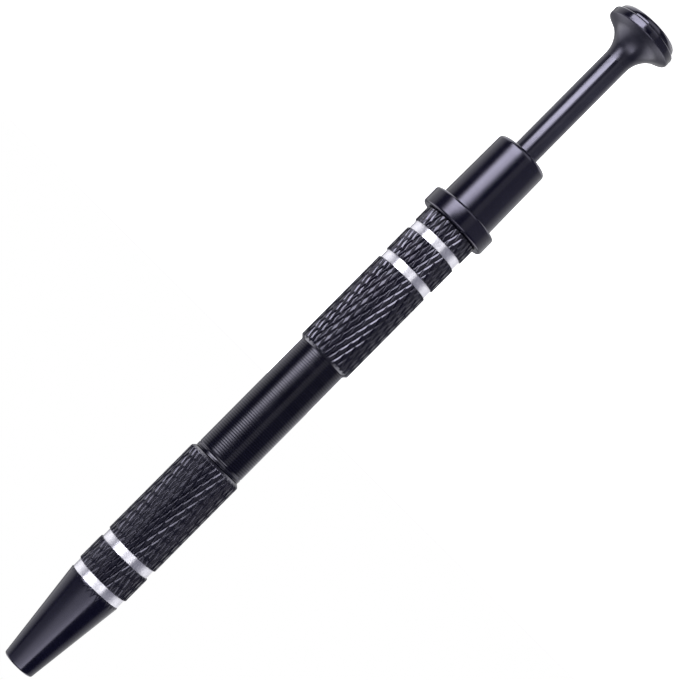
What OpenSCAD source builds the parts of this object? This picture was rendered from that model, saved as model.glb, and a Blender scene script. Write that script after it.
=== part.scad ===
// Four-claw pickup tool: pressing the button pushes four spring wires out of the nose.
// They spread as they leave it, and close round a small part when the button comes back.
// The tool stands on its thumb face, nose up. Stations along it are measured from the nose.

/* [Overall] */
// Diameter over the knurled grips
grip_d = 8; // [7.9:0.05:8.6]
// Travel of the button, until its trumpet meets the end cap
stroke = 17; // [12:0.5:17]

/* [Front sleeve] */
// Diameter at the nose
nose_d = 4.56; // [4.5:0.02:5]
// Length of the nose cone
cone_length = 13.6; // [13:0.1:14.5]
// Diameter at the wide end of the cone
cone_d = 7.78; // [7.7:0.02:7.9]
// Length of the whole front sleeve
sleeve_length = 35; // [34.5:0.1:36]
// Bore of the mouth, where the claws come out
mouth_d = 3.4; // [3.4:0.05:3.5]
// Bore that guides the push rod behind the mouth
guide_bore_d = 3.7; // [3.68:0.01:3.74]

/* [Bright rings] */
// Diameter of the bright-cut rings
ring_d = 7.6; // [7.4:0.05:7.62]
// Width of each ring
ring_width = 1.25; // [1:0.05:1.5]
// Length of the knurl between the two rings of a pair
ring_gap = 3.9; // [3.5:0.1:4.2]

/* [Barrel] */
// Diameter of the plain waist
waist_d = 7.15; // [7:0.05:7.3]
// Length of the plain waist
waist_length = 18.85; // [15:0.05:22]
// Length of the rear grip, rings included
rear_grip_length = 23.15; // [22.5:0.05:26]
// Bore that holds the spring
spring_bore_d = 5.2; // [5.1:0.05:5.3]

/* [End cap] */
// Diameter of the finger flange
flange_d = 9.89; // [9.5:0.01:11]
// Thickness of the finger flange
flange_width = 2.6; // [2:0.1:3.2]
// Length of the guide behind the flange
cap_length = 10.5; // [9:0.1:11]
// Diameter of the guide at the flange
cap_d = 7.85; // [7.7:0.05:8.2]
// Diameter of the guide at its free end
cap_end_d = 7.66; // [7.5:0.02:7.7]

/* [Push rod] */
// Diameter of the rod
rod_d = 3.58; // [3.5:0.01:3.6]
// Diameter over the button's rim
button_d = 9.86; // [9.5:0.02:10.4]
// Width of the button's rim
rim_width = 1.2; // [1:0.05:1.5]
// Diameter of the raised thumb face
thumb_face_d = 8.9; // [8.4:0.05:9.2]
// Height of the thumb face over the rim
thumb_face_height = 0.94; // [0.6:0.02:1.2]
// Radius of the rounded edge of the thumb face
thumb_face_edge = 0.5; // [0.1:0.05:0.55]
// Radius of the trumpet under the button
trumpet_radius = 4; // [3.6:0.1:4.2]
// Slope of the trumpet where it ends, from the rod's own direction
trumpet_angle = 63; // [58:1:66]

/* [Knurl] */
// Diamonds round the grip
knurl_count = 30; // [24:1:36]
// Length of one diamond along the tool
knurl_length = 3.2; // [2.4:0.1:4]
// Depth of the knurl
knurl_depth = 0.17; // [0.12:0.01:0.18]

/* [Claws] */
// Diameter of the claw wire
wire_d = 0.4; // [0.35:0.01:0.4]
// Distance of each wire from the centre where it is held
claw_root_r = 1; // [0.96:0.01:1.02]
// Bend radius of the bowed wire
bow_radius = 48; // [46:0.5:56]
// Bend radius of the hooked tip
hook_radius = 0.4; // [0.35:0.01:0.42]
// Angle that the tip is hooked through
hook_angle = 108; // [95:1:110]

/* [Return spring] */
// Diameter of the spring wire
spring_wire_d = 0.45; // [0.35:0.01:0.5]
// Number of turns
spring_turns = 20; // [14:1:24]

/* [Hidden] */
$fn = 96;

// Finishes
black_anodised = [0.09, 0.085, 0.11];
black_knurl = [0.06, 0.06, 0.075];
bright_cut = [0.86, 0.86, 0.88];
zinc_steel = [0.62, 0.63, 0.66];
spring_steel = [0.74, 0.75, 0.78];
brass = [0.78, 0.62, 0.3];

// Fits
screw_gap = 0.02;
press_gap = 0.01;
running_gap = 0.08;

// Stations of the front sleeve
front_ring_1 = cone_length;
front_band_1 = front_ring_1 + ring_width;
front_ring_2 = front_band_1 + ring_gap;
front_band_2 = front_ring_2 + ring_width;

// Stations of the barrel, whose rings stand as far from its end as the photographed ones
rear_grip_start = sleeve_length + waist_length;
barrel_end = rear_grip_start + rear_grip_length;
rear_ring_2 = barrel_end - 2.5 - ring_width;
rear_ring_1 = rear_ring_2 - ring_gap - ring_width;

// Stations of the end cap
guide_start = barrel_end + flange_width;
cap_end = guide_start + cap_length;

// Radii shared by pieces
knurl_root_r = grip_d / 2 - knurl_depth;
knurl_edge = 0.15;
core_r = ring_d / 2 - 0.1;
thread_r = 3.1;
cap_thread_r = 2.95;
sleeve_socket = 6;
cap_spigot = 7;
spring_shoulder = 27.5;

// The rod's front end, its collar and what sits on them
collar_d = 4.9;
collar_width = 2;
collar_start = barrel_end - cap_spigot - collar_width;
washer_thickness = 0.4;
washer_start = collar_start - washer_thickness;
holder_d = 3.36;
holder_start = 19;
holder_end = 26;
holder_cup = 1;
holder_cup_d = 2.84;
holder_socket = 4;
rod_spigot_d = 2.2;
cup_floor = holder_start + holder_cup;
claw_root = cup_floor - wire_d / 2 - 0.01;

// The claw's bends: a short inward curve from the holder, the long bow, and the hook
root_radius = 32.6;
root_angle = 7.04;
bow_angle = 17.93;
hook_length = 0.42;

// The trumpet under the button starts where it just enters the end cap at full stroke. It is
// an arc and then a straight flank, which touches the rounded lip of the button's rim.
trumpet_entry = 0.1;
lip_fillet = 0.25;
trumpet_start = cap_end + stroke - trumpet_entry;
lip_r = button_d / 2 - lip_fillet;
arc_rise = trumpet_radius * (1 - cos(trumpet_angle));
flank_rise = lip_r + lip_fillet * cos(trumpet_angle) - rod_d / 2 - arc_rise;
trumpet_end = trumpet_start + trumpet_radius * sin(trumpet_angle)
    + flank_rise / tan(trumpet_angle);
lip_centre = trumpet_end + lip_fillet * sin(trumpet_angle);
rim_top = lip_centre - lip_fillet + rim_width;
tool_length = rim_top + thumb_face_height;

// Stands a piece that is drawn from the nose at 0 on the thumb face
module stand()
    translate([0, 0, tool_length])
        rotate([180, 0, 0])
            children();

// Points of a round corner about a centre, from one angle to another
function round_corner(c, r, from, to, steps = 6) =
    [for (i = [0 : steps]) let (a = from + (to - from) * i / steps) c + r * [cos(a), sin(a)]];

// Turns an outline of [radius, station] points about the tool's centre line
module turned(outline)
    rotate_extrude()
        polygon(outline);

// Diamond knurl from one station to another, as a solid log that is drawn over a core.
// Grooves of both hands cross on a lattice of 2 * knurl_count points round: every second
// point is a diamond's peak, and the rest are crossings at the depth of the grooves.
module knurled_band(start, end, start_r = knurl_root_r, end_r = knurl_root_r,
                    start_edge = knurl_edge, end_edge = knurl_edge) {
    around = 2 * knurl_count;
    low = start + start_edge;
    high = end - end_edge;
    steps = max(1, round((high - low) / (knurl_length / 2)));
    rise = (high - low) / steps;
    rows = steps + 3;
    function peak(row, k) = (row + k) % 2 == 1;
    function row_r(row, k) =
        row == 0 ? start_r : row == rows - 1 ? end_r : peak(row, k) ? grip_d / 2 : knurl_root_r;
    function row_z(row) = row == 0 ? start : row == rows - 1 ? end : low + (row - 1) * rise;
    points = [for (row = [0 : rows - 1]) for (k = [0 : around - 1])
        let (a = 360 * k / around, r = row_r(row, k)) [r * cos(a), r * sin(a), row_z(row)]];
    function id(row, k) = row * around + k % around;
    // Each cell is split from crossing to crossing, so that the diamonds stay sharp
    sides = [for (row = [0 : rows - 2]) for (k = [0 : around - 1])
        let (a = id(row, k), b = id(row, k + 1), c = id(row + 1, k + 1), d = id(row + 1, k))
        each (peak(row, k) ? [[a, d, b], [b, d, c]] : [[a, c, b], [a, d, c]])];
    front_centre = rows * around;
    front = [for (k = [0 : around - 1]) [front_centre, id(0, k), id(0, k + 1)]];
    back = [for (k = [0 : around - 1]) [front_centre + 1, id(rows - 1, k + 1), id(rows - 1, k)]];
    polyhedron(concat(points, [[0, 0, start], [0, 0, end]]), concat(sides, front, back));
}

// One bright-cut ring, run a little way under its neighbours
module bright_ring(start) {
    under = 0.3;
    translate([0, 0, start - under])
        cylinder(d = ring_d, h = ring_width + 2 * under);
}

// Nose cone, ring pair and front grip, bored through from the mouth to the threaded socket
module front_sleeve() {
    end_chamfer = 0.4;
    nose_fillet = 0.25;
    cone_lip = 0.15;
    mouth_round = 0.15;
    mouth_land = 1;
    funnel_end = 1.3;
    socket_start = sleeve_length - sleeve_socket;
    socket_chamfer = 0.3;
    stand() difference() {
        union() {
            color(black_anodised) turned(concat(
                [[0, 0]],
                round_corner([nose_d / 2 - nose_fillet, nose_fillet], nose_fillet, -90, -7),
                [[cone_d / 2, cone_length - cone_lip],
                 [cone_d / 2 - cone_lip / 2, cone_length],
                 [core_r, cone_length],
                 [core_r, sleeve_length - end_chamfer],
                 [0, sleeve_length - end_chamfer]]));
            color(bright_cut) {
                bright_ring(front_ring_1);
                bright_ring(front_ring_2);
            }
            color(black_knurl) {
                knurled_band(front_band_1, front_ring_2);
                knurled_band(front_band_2, sleeve_length,
                             end_r = grip_d / 2 - end_chamfer, end_edge = end_chamfer);
            }
        }
        color(zinc_steel) turned([
            [0, -1],
            [mouth_d / 2 + mouth_round, -1],
            [mouth_d / 2 + mouth_round, 0],
            [mouth_d / 2, mouth_round],
            [mouth_d / 2, mouth_land],
            [guide_bore_d / 2, funnel_end],
            [guide_bore_d / 2, spring_shoulder],
            [spring_bore_d / 2, spring_shoulder],
            [spring_bore_d / 2, socket_start],
            [thread_r, socket_start],
            [thread_r, sleeve_length - socket_chamfer],
            [thread_r + socket_chamfer, sleeve_length],
            [thread_r + socket_chamfer, sleeve_length + 1],
            [0, sleeve_length + 1]]);
    }
}

// Waist and rear grip with its ring pair, with a threaded spigot in front
module barrel() {
    grip_chamfer = 0.4;
    spigot_start = sleeve_length - sleeve_socket + 0.2;
    spigot_chamfer = 0.3;
    relief_start = sleeve_length + 0.55;
    relief_width = 0.2;
    relief_depth = 0.08;
    shoulder_chamfer = 0.12;
    socket_start = barrel_end - cap_spigot - 0.3;
    stand() difference() {
        union() {
            color(black_anodised) turned([
                [0, spigot_start],
                [thread_r - screw_gap - spigot_chamfer, spigot_start],
                [thread_r - screw_gap, spigot_start + spigot_chamfer],
                [thread_r - screw_gap, sleeve_length],
                [waist_d / 2 - shoulder_chamfer, sleeve_length],
                [waist_d / 2, sleeve_length + shoulder_chamfer],
                [waist_d / 2, relief_start],
                [waist_d / 2 - relief_depth, relief_start + relief_width / 2],
                [waist_d / 2, relief_start + relief_width],
                [waist_d / 2, rear_grip_start + grip_chamfer],
                [core_r, rear_grip_start + grip_chamfer],
                [core_r, barrel_end - knurl_edge],
                [0, barrel_end - knurl_edge]]);
            color(bright_cut) {
                bright_ring(rear_ring_1);
                bright_ring(rear_ring_2);
            }
            color(black_knurl) {
                knurled_band(rear_grip_start, rear_ring_1,
                             start_r = grip_d / 2 - grip_chamfer, start_edge = grip_chamfer);
                knurled_band(rear_ring_1 + ring_width, rear_ring_2);
                knurled_band(rear_ring_2 + ring_width, barrel_end);
            }
        }
        color(zinc_steel) turned([
            [0, spigot_start - 1],
            [spring_bore_d / 2, spigot_start - 1],
            [spring_bore_d / 2, socket_start],
            [cap_thread_r, socket_start],
            [cap_thread_r, barrel_end + 1],
            [0, barrel_end + 1]]);
    }
}

// Finger flange and rear guide, screwed into the barrel
module end_cap() {
    spigot_start = barrel_end - cap_spigot;
    spigot_chamfer = 0.25;
    flange_fillet = 0.35;
    end_fillet = 0.6;
    guide_r = rod_d / 2 + running_gap;
    guide_chamfer = 0.2;
    color(black_anodised) stand() turned(concat(
        [[guide_r, spigot_start],
         [cap_thread_r - screw_gap - spigot_chamfer, spigot_start],
         [cap_thread_r - screw_gap, spigot_start + spigot_chamfer],
         [cap_thread_r - screw_gap, barrel_end]],
        round_corner([flange_d / 2 - flange_fillet, barrel_end + flange_fillet],
                     flange_fillet, -90, 0),
        round_corner([flange_d / 2 - flange_fillet, guide_start - flange_fillet],
                     flange_fillet, 0, 90),
        [[cap_d / 2, guide_start]],
        round_corner([cap_end_d / 2 - end_fillet, cap_end - end_fillet], end_fillet, 0, 90),
        [[guide_r + guide_chamfer, cap_end],
         [guide_r, cap_end - guide_chamfer]]));
}

// Rod, trumpet and thumb button in one turned piece
module push_rod() {
    rod_r = rod_d / 2;
    rim_fillet = 0.25;
    rim_centre = [button_d / 2 - rim_fillet, rim_top - rim_fillet];
    thumb_centre = [thumb_face_d / 2 - thumb_face_edge, tool_length - thumb_face_edge];
    front_chamfer = 0.2;
    spigot_r = rod_spigot_d / 2;
    spigot_start = holder_end - holder_socket + 0.1;
    color(black_anodised) stand() turned(concat(
        [[0, spigot_start],
         [spigot_r - front_chamfer, spigot_start],
         [spigot_r, spigot_start + front_chamfer],
         [spigot_r, holder_end],
         [rod_r - front_chamfer, holder_end],
         [rod_r, holder_end + front_chamfer]],
        round_corner([rod_r + trumpet_radius, trumpet_start], trumpet_radius,
                     180, 180 - trumpet_angle, 12),
        round_corner([lip_r, lip_centre], lip_fillet, -trumpet_angle, 0),
        round_corner(rim_centre, rim_fillet, 0, 90),
        [[thumb_face_d / 2, rim_top]],
        round_corner(thumb_centre, thumb_face_edge, 0, 90, 6),
        [[0, tool_length]]));
}

// Collar pressed on the rod, which stops on the end cap's spigot
module stop_collar() {
    chamfer = 0.2;
    bore_r = rod_d / 2 + press_gap;
    color(zinc_steel) stand() turned([
        [bore_r, collar_start],
        [collar_d / 2 - chamfer, collar_start],
        [collar_d / 2, collar_start + chamfer],
        [collar_d / 2, collar_start + collar_width - chamfer],
        [collar_d / 2 - chamfer, collar_start + collar_width],
        [bore_r, collar_start + collar_width]]);
}

// Washer between the spring and the collar, in which the rod turns freely
module thrust_washer() {
    bore_r = rod_d / 2 + running_gap;
    color(zinc_steel) stand() turned([
        [bore_r, washer_start],
        [collar_d / 2, washer_start],
        [collar_d / 2, washer_start + washer_thickness],
        [bore_r, washer_start + washer_thickness]]);
}

// Coil spring from the sleeve's shoulder to the thrust washer, its end turns closed
module return_spring() {
    sides = 6;
    steps = 12;
    coil_r = 2.175;
    wire_r = spring_wire_d / 2;
    from = spring_shoulder + wire_r;
    to = washer_start - wire_r;
    pitch = (to - from - 2 * spring_wire_d) / (spring_turns - 2);
    count = spring_turns * steps;
    function rise(turn) =
        turn < 1 ? turn * spring_wire_d
        : turn > spring_turns - 1 ? to - from - (spring_turns - turn) * spring_wire_d
        : spring_wire_d + (turn - 1) * pitch;
    points = [for (i = [0 : count]) for (k = [0 : sides - 1])
        let (turn = i / steps, b = 360 * k / sides, r = coil_r + wire_r * cos(b))
        [r * cos(360 * turn), r * sin(360 * turn), from + rise(turn) + wire_r * sin(b)]];
    function id(i, k) = i * sides + k % sides;
    skin = [for (i = [0 : count - 1]) for (k = [0 : sides - 1])
        each [[id(i, k), id(i + 1, k), id(i, k + 1)], [id(i, k + 1), id(i + 1, k), id(i + 1, k + 1)]]];
    ends = [[for (k = [0 : sides - 1]) k], [for (k = [sides - 1 : -1 : 0]) id(count, k)]];
    color(spring_steel) stand() polyhedron(points, concat(skin, ends));
}

// Brass ferrule on the rod's front end, with a cup in which the claws are held
module claw_holder() {
    chamfer = 0.15;
    socket_r = rod_spigot_d / 2 + press_gap;
    color(brass) stand() turned([
        [0, cup_floor],
        [holder_cup_d / 2, cup_floor],
        [holder_cup_d / 2, holder_start],
        [holder_d / 2 - chamfer, holder_start],
        [holder_d / 2, holder_start + chamfer],
        [holder_d / 2, holder_end - chamfer],
        [holder_d / 2 - chamfer, holder_end],
        [socket_r, holder_end],
        [socket_r, holder_end - holder_socket],
        [0, holder_end - holder_socket]]);
}

// Ball that closes a joint or an end of the wire, a hair thicker than the wire itself
module wire_ball()
    sphere(d = wire_d + 0.006);

// A wire bent towards +X by a positive angle or -X by a negative one, starting along +Z.
// A ball closes its end, and its children carry on from there.
module bend(radius, angle) {
    side = sign(angle);
    joint_gap = 0.01;
    rotate([0, 0, side < 0 ? 180 : 0])
        translate([radius, 0, 0])
            rotate([90, 0, 180])
                rotate_extrude(angle = abs(angle))
                    translate([radius, 0])
                        circle(d = wire_d);
    translate([side * radius * (1 - cos(angle)), 0, radius * sin(abs(angle))])
        rotate([0, angle, 0]) {
            wire_ball();
            translate([0, 0, joint_gap])
                children();
        }
}

// One claw wire, from its root in the holder to its hooked tip
module claw(number)
    color(spring_steel) stand()
        rotate([0, 0, 90 * number - 45])
            translate([claw_root_r, 0, claw_root])
                mirror([0, 0, 1]) {
                    wire_ball();
                    bend(root_radius, -root_angle)
                        bend(bow_radius, bow_angle)
                            bend(hook_radius, -hook_angle) {
                                cylinder(d = wire_d, h = hook_length);
                                translate([0, 0, hook_length])
                                    wire_ball();
                            }
                }

front_sleeve();
barrel();
end_cap();
push_rod();
stop_collar();
thrust_washer();
return_spring();
claw_holder();
claw(1);  // claw_1
claw(2);  // claw_2
claw(3);  // claw_3
claw(4);  // claw_4
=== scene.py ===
"""The four-claw pickup tool, standing on its thumb button: its camera, light, finishes and fine shapes.

Lengths are in millimetres until a mesh is made. Stations count from the nose, as in the part's own source.
"""

import itertools
import math

import bmesh
import bpy
import numpy as np
from mathutils import Matrix, Vector


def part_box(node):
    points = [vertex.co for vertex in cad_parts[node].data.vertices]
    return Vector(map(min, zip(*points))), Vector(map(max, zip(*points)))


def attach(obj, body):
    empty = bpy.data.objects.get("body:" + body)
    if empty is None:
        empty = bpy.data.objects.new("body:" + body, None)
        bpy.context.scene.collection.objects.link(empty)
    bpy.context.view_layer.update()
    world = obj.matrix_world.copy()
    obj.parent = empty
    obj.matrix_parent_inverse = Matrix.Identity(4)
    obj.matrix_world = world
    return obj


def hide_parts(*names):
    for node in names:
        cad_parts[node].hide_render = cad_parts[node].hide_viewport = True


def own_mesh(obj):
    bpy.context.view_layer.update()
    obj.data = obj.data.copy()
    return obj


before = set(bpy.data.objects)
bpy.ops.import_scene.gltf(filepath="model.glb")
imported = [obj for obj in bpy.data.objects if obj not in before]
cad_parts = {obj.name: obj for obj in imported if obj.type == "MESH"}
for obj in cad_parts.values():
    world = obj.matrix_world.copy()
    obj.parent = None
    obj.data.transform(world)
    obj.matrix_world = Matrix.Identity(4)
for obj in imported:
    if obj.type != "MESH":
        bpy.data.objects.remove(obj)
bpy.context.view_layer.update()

MM = 0.001
FULL_TURN = 2 * math.pi

# Sizes of the whole tool
TOOL_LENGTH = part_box("front_sleeve")[1].z / MM
STROKE = 17.0

# Sizes of the knurl and the bright-cut rings
GRIP_R = 4.0
KNURL_COUNT = 30
KNURL_LENGTH = 3.2
KNURL_DEPTH = 0.165
RING_R = 3.8
RING_WIDTH = 1.25
RING_GAP = 3.9

# Each end of a knurled band is cut back to this radius, over this length
RING_EDGE = (3.85, 0.1)
GRIP_CHAMFER = (3.6, 0.4)
FLANGE_EDGE = (3.83, 0.12)

# Sizes of the front sleeve
NOSE_R = 2.28
NOSE_FILLET = 0.25
CONE_R = 3.89
CONE_LENGTH = 13.6
CONE_LIP = 0.15
RUN_OUT_LENGTH = 0.8
MOUTH_R = 1.7
MOUTH_ROUND = 0.15
MOUTH_LAND = 1.0
FUNNEL_END = 1.3
GUIDE_BORE_R = 1.85
SPRING_SHOULDER = 27.5
SPRING_BORE_R = 2.6
SLEEVE_LENGTH = 35.0
SLEEVE_SOCKET = 6.0
SOCKET_START = SLEEVE_LENGTH - SLEEVE_SOCKET
SOCKET_CHAMFER = 0.3
FRONT_RING_2 = CONE_LENGTH + RING_WIDTH + RING_GAP

# Sizes of the barrel
THREAD_R = 3.1
SCREW_GAP = 0.02
SPIGOT_START = SOCKET_START + 0.2
SPIGOT_CHAMFER = 0.3
WAIST_R = 3.575
WAIST_LENGTH = 18.85
WAIST_CHAMFER = 0.12
RELIEF_START = SLEEVE_LENGTH + 0.55
RELIEF_WIDTH = 0.2
RELIEF_DEPTH = 0.08
REAR_GRIP_START = SLEEVE_LENGTH + WAIST_LENGTH
REAR_GRIP_LENGTH = 23.15
REAR_END_BAND = 2.5
BARREL_END = REAR_GRIP_START + REAR_GRIP_LENGTH
BARREL_END_R = 3.7
REAR_RING_2 = BARREL_END - REAR_END_BAND - RING_WIDTH
REAR_RING_1 = REAR_RING_2 - RING_GAP - RING_WIDTH

# Sizes of the end cap
CAP_THREAD_R = 2.95
CAP_SPIGOT = 7.0
CAP_SPIGOT_START = BARREL_END - CAP_SPIGOT
CAP_SPIGOT_CHAMFER = 0.25
CAP_SOCKET_FLOOR = CAP_SPIGOT_START - 0.3
FLANGE_R = 4.945
FLANGE_WIDTH = 2.6
FLANGE_FILLET = 0.35
CAP_START = BARREL_END + FLANGE_WIDTH
CAP_LENGTH = 10.5
CAP_END = CAP_START + CAP_LENGTH
CAP_R = 3.925
CAP_END_R = 3.83
CAP_END_FILLET = 0.6
CAP_ROOT_FILLET = 0.075
CAP_BORE_CHAMFER = 0.2

# Sizes of the push rod
ROD_R = 1.79
RUNNING_GAP = 0.08
ROD_SPIGOT_R = 1.1
ROD_CHAMFER = 0.2
HOLDER_END = 26.0
HOLDER_SOCKET = 4.0
ROD_START = HOLDER_END - HOLDER_SOCKET + 0.1
TRUMPET_RADIUS = 4.0
TRUMPET_ANGLE = 63
TRUMPET_ENTRY = 0.1
TRUMPET_START = CAP_END + STROKE - TRUMPET_ENTRY
BUTTON_R = 4.93
RIM_WIDTH = 1.2
RIM_FILLET = 0.2
LIP_FILLET = 0.25
THUMB_R = 4.45
THUMB_HEIGHT = 0.94
THUMB_EDGE_WIDTH = 0.5
THUMB_EDGE_HEIGHT = 0.74
RIM_TOP = TOOL_LENGTH - THUMB_HEIGHT
LIP_STATION = RIM_TOP - RIM_WIDTH + LIP_FILLET

# Sizes of the claws. A bend is its radius, its angle in degrees (outwards is plus) and its steps
CLAW_WIRE_R = 0.2
CLAW_ROOT_R = 1.0
CUP_FLOOR = 20.0
CLAW_ROOT = CUP_FLOOR - CLAW_WIRE_R - 0.01
ROOT_BEND = (32.6, -7.04, 10)
BOW = (48.0, 17.93, 24)
HOOK = (0.4, -108.0, 14)
HOOK_LENGTH = 0.42

# Sizes of the return spring, which stands between the sleeve's shoulder and the washer before the collar
SPRING_WIRE = 0.45
SPRING_TURNS = 20
COIL_R = 2.175
COLLAR_WIDTH = 2.0
WASHER_THICKNESS = 0.4
WASHER_START = CAP_SPIGOT_START - COLLAR_WIDTH - WASHER_THICKNESS


# The camera, at the photograph's viewing angle

def place_camera():
    """Looks a little down on the standing tool, rolled so that the nose is at the picture's lower left."""
    aimed_station = 56.99
    distance = 254.8
    look_down = math.radians(3.36)
    roll = math.radians(45.218)
    view = Vector((0, math.cos(look_down), -math.sin(look_down)))
    along = Vector((0, -math.sin(look_down), -math.cos(look_down)))
    across = Vector((1, 0, 0))
    right = math.cos(roll) * along - math.sin(roll) * across
    up = math.sin(roll) * along + math.cos(roll) * across
    spot = Vector((0, 0, TOOL_LENGTH - aimed_station)) - distance * view
    data = bpy.data.cameras.new("photo camera")
    data.sensor_width = 36
    data.lens = 106.99
    data.clip_start = 0.01
    data.clip_end = 10
    camera = bpy.data.objects.new("photo camera", data)
    turn = Matrix((right, up, -view)).transposed()
    camera.matrix_world = Matrix.Translation(spot * MM) @ turn.to_4x4()
    bpy.context.scene.collection.objects.link(camera)
    bpy.context.scene.camera = camera


# Small helpers for node trees

def node(tree, kind, **fields):
    """Adds a shader node of that kind and sets its own fields."""
    made = tree.nodes.new("ShaderNode" + kind)
    for field, value in fields.items():
        setattr(made, field, value)
    return made


def plug(tree, value, socket):
    """Sets a socket to a number or to a colour (r, g, b), or links another node's output to it."""
    if isinstance(value, tuple):
        socket.default_value = (*value, 1)
    elif isinstance(value, (int, float)):
        socket.default_value = value
    else:
        tree.links.new(value, socket)


def join(tree, *pairs):
    """Links each output to its input."""
    for out, into in pairs:
        tree.links.new(out, into)


def sums(tree, operation, *values):
    """Works on numbers or outputs with a Math node, and returns its output."""
    made = node(tree, "Math", operation=operation)
    for value, socket in zip(values, made.inputs):
        plug(tree, value, socket)
    return made.outputs[0]


def spread(tree, value, low, high, to_low, to_high):
    """Carries a value from low..high over to to_low..to_high, held at both ends, and returns the output."""
    made = node(tree, "MapRange")
    for given, socket in zip((value, low, high, to_low, to_high), made.inputs):
        plug(tree, given, socket)
    return made.outputs[0]


def mixed(tree, share, first, second, blend="MIX"):
    """Mixes two colours by a share from 0 to 1, and returns the mixed colour's output."""
    made = node(tree, "Mix", data_type="RGBA", blend_type=blend)
    for title, value in (("Factor", share), ("A", first), ("B", second)):
        plug(tree, value, made.inputs[title])
    return made.outputs["Result"]


def ramp(tree, value, stops):
    """Reads a grey level off stops of (place, level), and returns its output."""
    made = node(tree, "ValToRGB")
    points = made.color_ramp.elements
    while len(points) < len(stops):
        points.new(0.5)
    for point, (place, level) in zip(points, stops):
        point.position = place
        point.color = (level, level, level, 1)
    tree.links.new(value, made.inputs[0])
    return made.outputs[0]


def noise(tree, dimensions, place, scale, detail, roughness=0.5):
    """A noise along a number, or over a point, and returns its output."""
    made = node(tree, "TexNoise", noise_dimensions=dimensions)
    plug(tree, place, made.inputs["W" if dimensions == "1D" else "Vector"])
    for title, value in (("Scale", scale), ("Detail", detail), ("Roughness", roughness)):
        plug(tree, value, made.inputs[title])
    return made.outputs[0]


def axes_of(tree, vector):
    """The x, y and z outputs of a vector."""
    made = node(tree, "SeparateXYZ")
    plug(tree, vector, made.inputs[0])
    return tuple(made.outputs)


def own_point(tree):
    """The point of the surface in millimetres, in the piece's own space."""
    made = node(tree, "VectorMath", operation="SCALE")
    plug(tree, node(tree, "TexCoord").outputs["Object"], made.inputs[0])
    plug(tree, 1 / MM, made.inputs["Scale"])
    return made.outputs[0]


def new_group(name, ins, outs):
    """An empty node group of plain numbers. ins are the inputs with their start values, outs are names."""
    group = bpy.data.node_groups.new(name, "ShaderNodeTree")
    for title, value in ins.items():
        socket = group.interface.new_socket(title, in_out="INPUT", socket_type="NodeSocketFloat")
        socket.default_value = value
    for title in outs:
        group.interface.new_socket(title, in_out="OUTPUT", socket_type="NodeSocketFloat")
    return group, group.nodes.new("NodeGroupInput"), group.nodes.new("NodeGroupOutput")


def placed(tree, group, **values):
    """Places a node group in a material with its own values, and returns its outputs."""
    made = node(tree, "Group")
    made.node_tree = group
    for title, value in values.items():
        plug(tree, value, made.inputs[title.capitalize()])
    return made.outputs


# The surround. Each list is grey levels by bearing in degrees: 0 faces the camera, and plus is to the
# picture's lower right. They run from level with the tool up to the roof, and down to the foot.

WALL = (
    (-180, 0.3), (-150, 0.3), (-142, 0.96), (-112, 0.92), (-102, 0.78), (-94, 0.42), (-86, 0.08), (-8, 0.05),
    (12, 0.05), (17, 0.46), (34, 0.46), (42, 0.09), (90, 0.1), (98, 0.5), (106, 0.66), (118, 0.8),
    (128, 0.88), (168, 0.8), (174, 0.3), (180, 0.3))
HIGH_WALL = (
    (-180, 0.3), (-150, 0.3), (-142, 0.94), (-112, 0.88), (-100, 0.7), (-88, 0.08), (-60, 0.03), (93, 0.02),
    (103, 0.4), (112, 0.58), (128, 0.66), (142, 0.7), (150, 0.3), (180, 0.3))
ROOF = (
    (-180, 0.3), (-150, 0.3), (-142, 3.0), (-122, 2.6), (-108, 2.1), (-86, 1.5), (-78, 0.12), (-32, 0.12),
    (-22, 1.4), (10, 1.4), (15, 1.7), (36, 1.7), (42, 0.15), (88, 0.15), (98, 1.2), (108, 1.7), (124, 2.4),
    (142, 2.5), (150, 0.3), (180, 0.3))
FOOT = (
    (-180, 1.6), (-150, 1.6), (-142, 2.4), (-90, 2.3), (-80, 0.1), (-32, 0.1), (-22, 1.5), (36, 1.7),
    (42, 0.12), (88, 0.12), (97, 1.6), (118, 2.1), (142, 2.1), (150, 0.3), (180, 0.3))

# Where each list takes over, as the upward share of the direction at its start and where it is full
TAKES_OVER = ((HIGH_WALL, 0.17, 0.24), (ROOF, 0.34, 0.54), (FOOT, -0.28, -0.5))
POLES = (0.86, 0.93)
POLE_GREY = (0.25, 0.25, 0.25)

# Below these levels the surround is tinged with this blue
DUSK = (0.12, 0.5)
DUSK_BLUE = (0, 0, 0.045)


def surround_level(tree):
    """A dark front between white sides, dim straight up and down, and a little blue where it is dark."""
    x, y, up = axes_of(tree, node(tree, "TexCoord").outputs["Generated"])
    bearing = sums(tree, "ARCTAN2", sums(tree, "MULTIPLY", x, -1), sums(tree, "MULTIPLY", y, -1))
    share = spread(tree, bearing, -math.pi, math.pi, 0, 1)

    def by_bearing(levels):
        return ramp(tree, share, [((degrees + 180) / 360, level) for degrees, level in levels])

    level = by_bearing(WALL)
    for levels, start, full in TAKES_OVER:
        level = mixed(tree, spread(tree, up, start, full, 0, 1), level, by_bearing(levels))
    level = mixed(tree, spread(tree, sums(tree, "ABSOLUTE", up), *POLES, 0, 1), level, POLE_GREY)
    dusk = mixed(tree, spread(tree, level, *DUSK, 0, 1), DUSK_BLUE, (0, 0, 0))
    return mixed(tree, 1, level, dusk, blend="ADD")


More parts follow.
